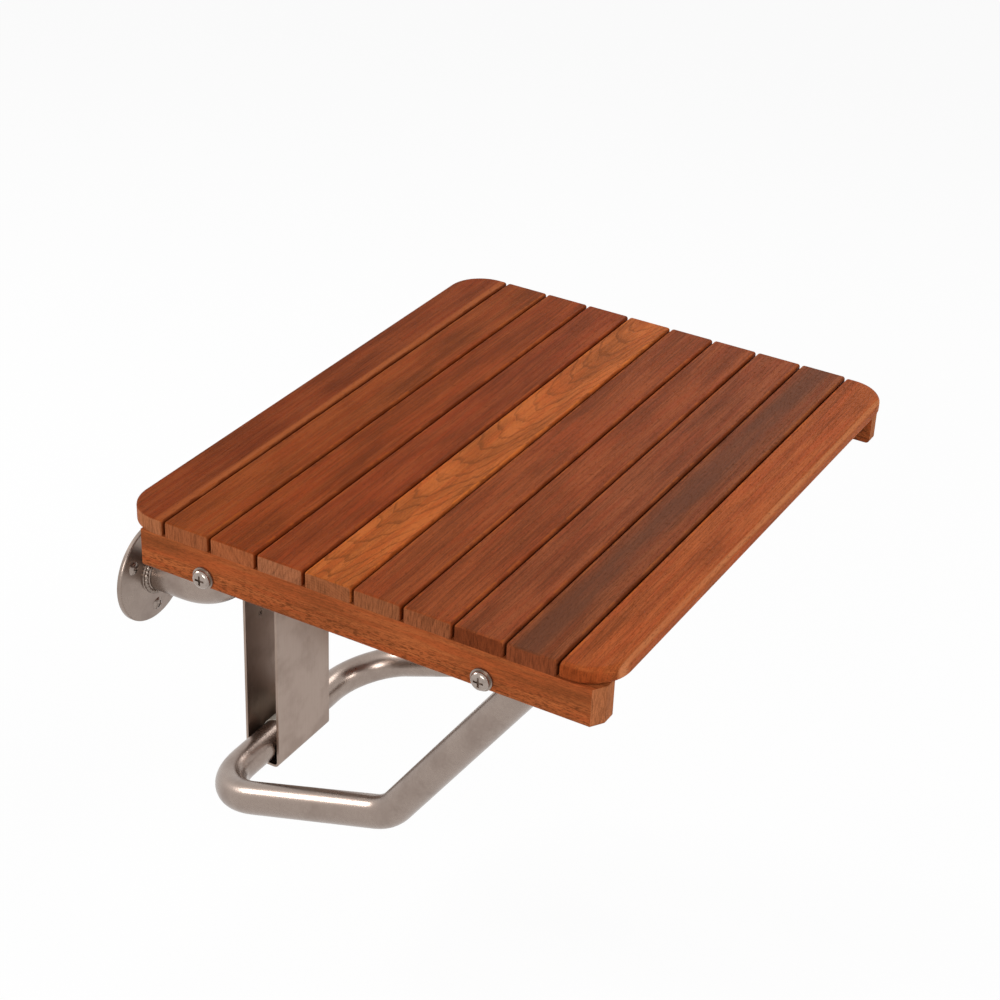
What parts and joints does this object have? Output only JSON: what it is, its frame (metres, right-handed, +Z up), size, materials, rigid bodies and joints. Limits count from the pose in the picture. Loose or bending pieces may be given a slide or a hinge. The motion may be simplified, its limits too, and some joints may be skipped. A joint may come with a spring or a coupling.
{
  "type": "fold down wall seat",
  "caption": "Slatted wooden seat that folds up flat to the wall on two bent tube arms, with a bent tube brace whose foot slides up a wall guide.",
  "frame": {"origin": "on the wall plane, midway between the centres of the two wall flanges, on the back face of the wall guide", "axes": "+Z up, +Y into the wall, so the seat stands out towards -Y, and +X along the wall"},
  "size_m": [0.4518, 0.4002, 0.3341],
  "materials": {
    "slat_teak": "oiled satin",
    "rail_teak": "oiled satin",
    "stainless_steel": "satin",
    "fastener_steel": "semi polished",
    "nylon": "matte",
    "plug_plastic": "matte"
  },
  "bodies": {
    "wall_frame": {"left_flange": "stainless_steel", "right_flange": "stainless_steel", "left_wall_arm": "stainless_steel", "right_wall_arm": "stainless_steel", "hinge_bushes": "nylon", "wall_guide": "stainless_steel"},
    "seat": {"slat_01": "slat_teak", "slat_02": "slat_teak", "slat_03": "slat_teak", "slat_04": "slat_teak", "slat_05": "slat_teak", "slat_06": "slat_teak", "slat_07": "slat_teak", "slat_08": "slat_teak", "slat_09": "slat_teak", "slat_10": "slat_teak", "left_rail": "rail_teak", "right_rail": "rail_teak", "left_side_bar": "stainless_steel", "right_side_bar": "stainless_steel", "front_cross_bar": "stainless_steel", "middle_cross_bar": "stainless_steel", "left_brace_hanger": "stainless_steel", "right_brace_hanger": "stainless_steel", "hinge_rod": "stainless_steel", "hinge_collars": "stainless_steel", "collar_screws": "fastener_steel", "frame_bolts": "fastener_steel", "frame_washers": "fastener_steel", "frame_nuts": "fastener_steel", "deck_screws": "fastener_steel"},
    "guide_slider": {"guide_sleeve": "nylon"},
    "brace": {"brace_frame": "stainless_steel", "brace_top_bar": "stainless_steel", "brace_end_plugs": "plug_plastic"}
  },
  "joints": [
    {"name": "seat_fold", "type": "hinge", "parent": "wall_frame", "child": "seat", "pos_m": [0, -0.084, 0.073], "axis": [-1, 0, 0], "range_deg": [0, 90]},
    {"name": "guide_slide", "type": "slide", "parent": "wall_frame", "child": "guide_slider", "axis": [0, 0, 1], "range_m": [0, 0.122]},
    {"name": "brace_pivot", "type": "hinge", "parent": "guide_slider", "child": "brace", "pos_m": [0, -0.0155, -0.2146], "axis": [-1, 0, 0], "range_deg": [0, 38.9]}
  ],
  "couplings": [
    {"joint": "guide_slide", "follows": "seat_fold", "m_per_rad": 0.077611},
    {"joint": "brace_pivot", "follows": "seat_fold", "ratio": 0.43174}
  ]
}
